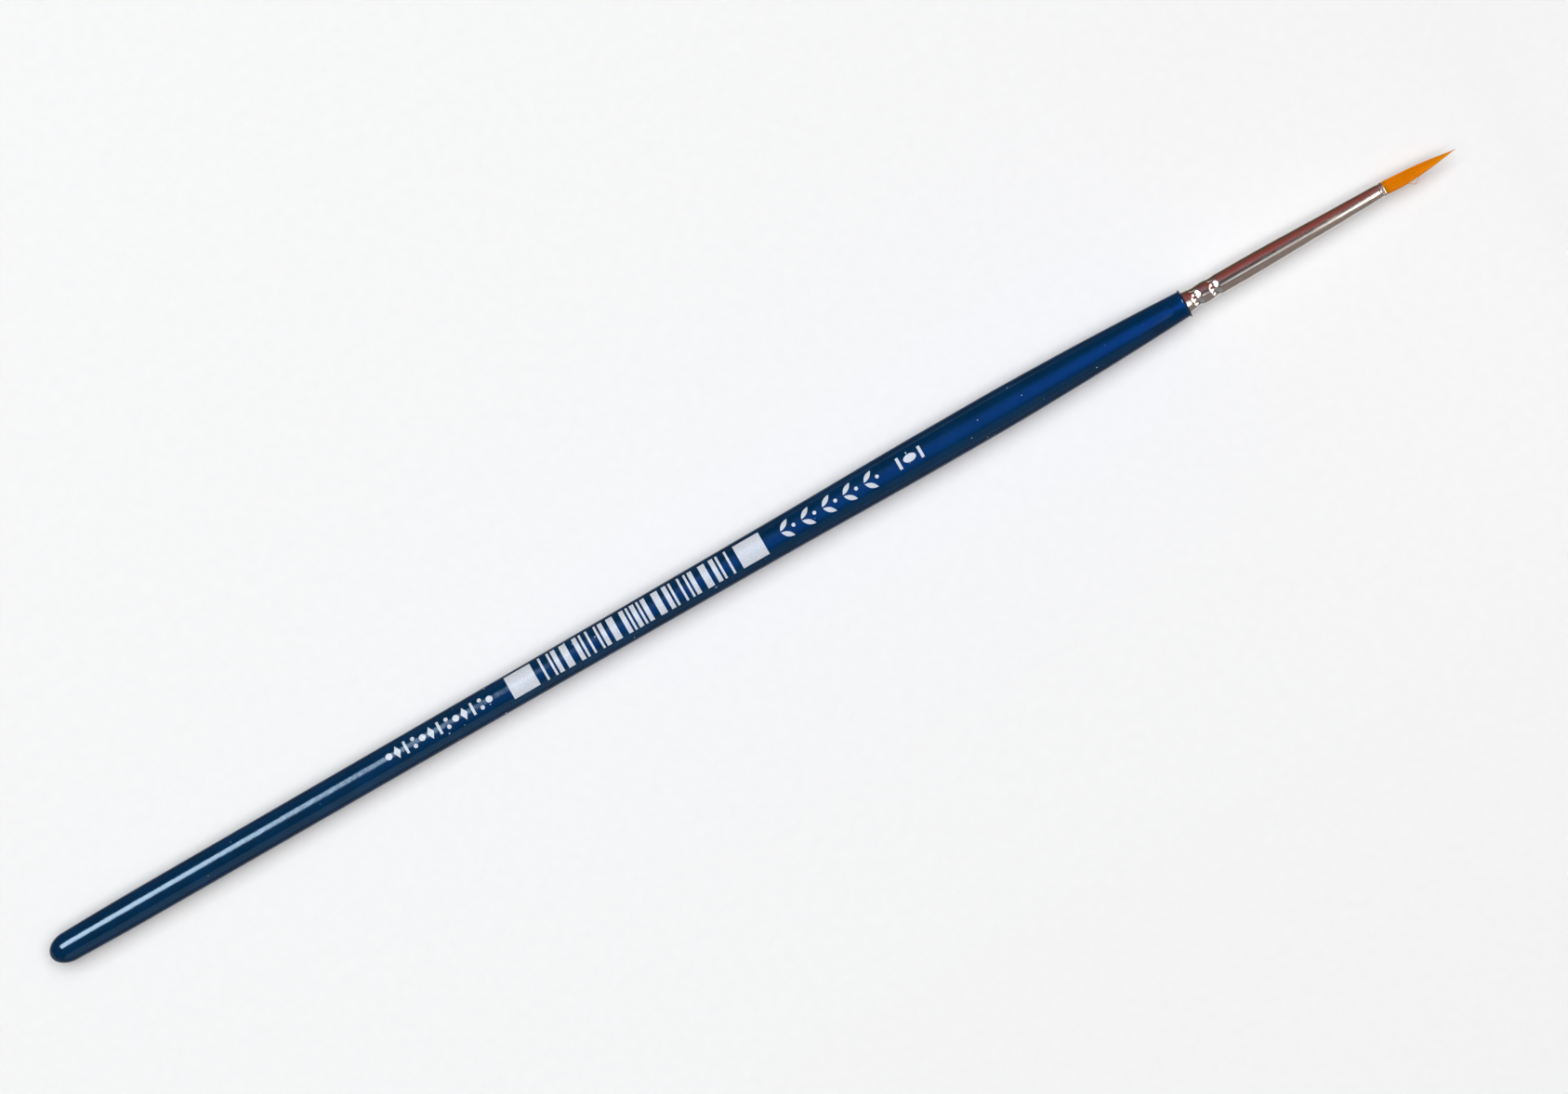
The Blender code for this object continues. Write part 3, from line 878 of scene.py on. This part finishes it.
def reflected_card(name, corners, colour, glow=lambda u, v: 1.0, see_through=True):
    """A card that only shows in reflections, as a photographer holds one beside a shiny thing.
    glow(u, v) is its brightness at a fraction u of the way to the second corner and v to the fourth.
    A card that isn't see-through also hides what is behind it."""
    first, second, third, fourth = (Vector(corner) for corner in corners)
    places = []
    glows = []
    for j in range(CARD_CELLS + 1):
        for i in range(CARD_CELLS + 1):
            u = i / CARD_CELLS
            v = j / CARD_CELLS
            places.append(first.lerp(second, u).lerp(fourth.lerp(third, u), v))
            glows.extend([channel * glow(u, v) for channel in colour] + [1.0])
    faces = []
    for j in range(CARD_CELLS):
        for i in range(CARD_CELLS):
            corner = j * (CARD_CELLS + 1) + i
            above = corner + CARD_CELLS + 1
            faces.append((corner, corner + 1, above + 1, above))
    card = new_piece(name, places, faces, card_material(name, see_through), smooth=False)
    card.data.attributes.new("glow", "FLOAT_COLOR", "POINT").data.foreach_set("color", glows)
    card.visible_camera = False
    card.visible_diffuse = False
    card.visible_shadow = False
    card.visible_transmission = False


def along_brush(x_span, near, far):
    """Corners of a card that runs along the brush. near and far are the (y, z) of its two long edges."""
    start, end = x_span
    return [(start, *near), (end, *near), (end, *far), (start, *far)]


def across_brush(x, y_span, z_span):
    """Corners of an upright card square to the brush."""
    left, right = y_span
    low, high = z_span
    return [(x, left, low), (x, right, low), (x, right, high), (x, left, high)]


def cards_for_handle():
    """A long softbox on the rear half, a blue glow along the top of the front half and a teal wall at -Y."""
    reflected_card(
        "softbox",
        along_brush((-0.60, -0.03), near=(0.08, 0.78), far=(0.62, 0.555)),
        (24.5, 33.5, 41.0),
        glow=lambda u, v: hump(v, (0.0, 0.38), (0.75, 1.0)) * (1.0 - rising(u, 0.83, 0.95)),
    )
    reflected_card(
        "blue_glow",
        along_brush((-0.06, LIP_X - 0.05 * MM), near=(-0.0135, 0.014), far=(0.0135, 0.014)),
        GLOW_BLUE,
        glow=lambda u, v: (
            hump(v, (0.0, 0.5), (0.5, 1.0)) * (rising(u, 0.0, 0.5) + 0.5 * rising(u, 0.75, 0.95))
        ),
    )
    reflected_card(
        "teal_wall",
        along_brush((-0.12, WALL_CHANGE_X), near=(-0.05, 0.0), far=(-0.05, 0.05)),
        (0.68, 1.0, 1.15),
        glow=lambda u, v: 1.0 - 0.5 * rising(u, 0.45, 0.7),
        see_through=False,
    )


def cards_for_ferrule():
    """A grey wall at -Y, a red card at +Y, a strip of light along the top and a bright wall past the tip."""
    reflected_card(
        "grey_wall",
        along_brush((WALL_CHANGE_X, 0.12), near=(-0.05, 0.0), far=(-0.05, 0.05)),
        (0.30, 0.24, 0.21),
        see_through=False,
    )
    reflected_card(
        "warm_card",
        along_brush((0.050, 0.10), near=(0.030, 0.0), far=(0.006, 0.032)),
        (0.30, 0.06, 0.045),
        glow=lambda u, v: rising(u, 0.0, 0.2),
        see_through=False,
    )
    reflected_card(
        "strip_card",
        along_brush((0.055, 0.115), near=(-0.047, 0.055), far=(-0.006, 0.055)),
        (1.0, 0.96, 0.96),
        glow=lambda u, v: (
            (rising(u, 0.0, 0.1) - 0.4 * rising(u, 0.2, 0.34) + 1.6 * rising(u, 0.36, 0.46))
            * hump(v, (0.0, 0.5), (0.5, 1.0))
        ),
    )
    reflected_card(
        "end_card",
        across_brush(TIP_X + 6.55 * MM, y_span=(-0.100, 0.014), z_span=(0.004, 0.115)),
        (5.0, 4.9, 4.8),
        glow=lambda u, v: hump(u, (0.0, 0.3), (0.88, 1.0)) * (1.0 - rising(v, 0.9, 1.0)),
    )


def flags():
    """Small cards that hide others: two back to back over the lip, one in front of the mouth, and a low one
    along each side of the brush."""
    lip_flag = {"y_span": (-0.016, 0.016), "z_span": (0.0040, 0.0145)}
    reflected_card(
        "crimp_flag",
        across_brush(LIP_X - 0.05 * MM, **lip_flag),
        (5.0, 4.8, 4.7),
        glow=lambda u, v: 0.05 + hump(u, (0.49, 0.53), (0.58, 0.67)),
        see_through=False,
    )
    reflected_card(
        "crimp_flag_back",
        across_brush(LIP_X - 0.15 * MM, **lip_flag),
        GLOW_BLUE,
        glow=lambda u, v: 0.08 + 1.8 * hump(u, (0.40, 0.5), (0.5, 0.6)),
        see_through=False,
    )
    reflected_card(
        "mouth_flag",
        across_brush(MOUTH_X + 1.75 * MM, y_span=(-0.012, 0.012), z_span=(0.0045, 0.013)),
        (0.66, 0.54, 0.46),
        glow=lambda u, v: 0.45 + hump(u, (0.30, 0.45), (0.45, 0.50)),
        see_through=False,
    )
    for name, side, top, colour in (
        ("low_flag_left", 0.0042, 0.0033, (0.12, 0.085, 0.06)),
        ("low_flag_right", -0.0046, 0.0030, (0.28, 0.26, 0.25)),
    ):
        corners = along_brush((-0.1, 0.1), near=(side, 0.0), far=(side, top))
        reflected_card(name, corners, colour, see_through=False)


def build_light():
    world = bpy.data.worlds.new("room")
    world.use_nodes = True
    world.node_tree.nodes["Background"].inputs["Color"].default_value = ROOM_COLOUR
    bpy.context.scene.world = world
    light_above("key_light", (-0.05, 0.157, 1.0), size=1.25, power=14.2)
    light_above("fill_light", (0.05, 0.05, 1.2), size=2.6, power=5.0)
    cards_for_handle()
    cards_for_ferrule()
    flags()


# ---------------------------------------------------------------- camera

PICTURE_TURN = math.radians(29.96)  # the brush rises to the right in the picture by this angle
PICTURE_WIDTH = 168.2 * MM  # width of the picture at the height of the brush
PICTURE_CENTRE = (3.30 * MM, 0.535 * MM)  # from the middle of the brush, to the right and up in the picture
RIGHT = Vector((math.cos(PICTURE_TURN), -math.sin(PICTURE_TURN), 0.0))
UP = Vector((math.sin(PICTURE_TURN), math.cos(PICTURE_TURN), 0.0))
LENS = 200.0
SENSOR = 36.0


def build_camera():
    """A camera that looks straight down, far off and through a long lens."""
    camera = bpy.data.cameras.new("camera")
    camera.lens = LENS
    camera.sensor_width = SENSOR
    camera.clip_start = 10.0 * MM
    distance = PICTURE_WIDTH * LENS / SENSOR
    centre = RIGHT * PICTURE_CENTRE[0] + UP * PICTURE_CENTRE[1]
    place = centre + Vector((0.0, 0.0, AXIS_Z + distance))
    eye = placed("camera", camera)
    eye.matrix_world = Matrix.Translation(place) @ Matrix.Rotation(-PICTURE_TURN, 4, "Z")
    bpy.context.scene.camera = eye
    bpy.context.scene.view_settings.view_transform = "Standard"


# ---------------------------------------------------------------- the whole picture

dress_cad_nodes()
build_handle(lacquer_material())
ink = ink_material()
print_stripes(ink)
print_marks(ink)
print_ornament(ink)
print_size_mark(ink)
build_ferrule(nickel_material())
build_tuft(hair_material())
build_floor()
build_light()
build_camera()
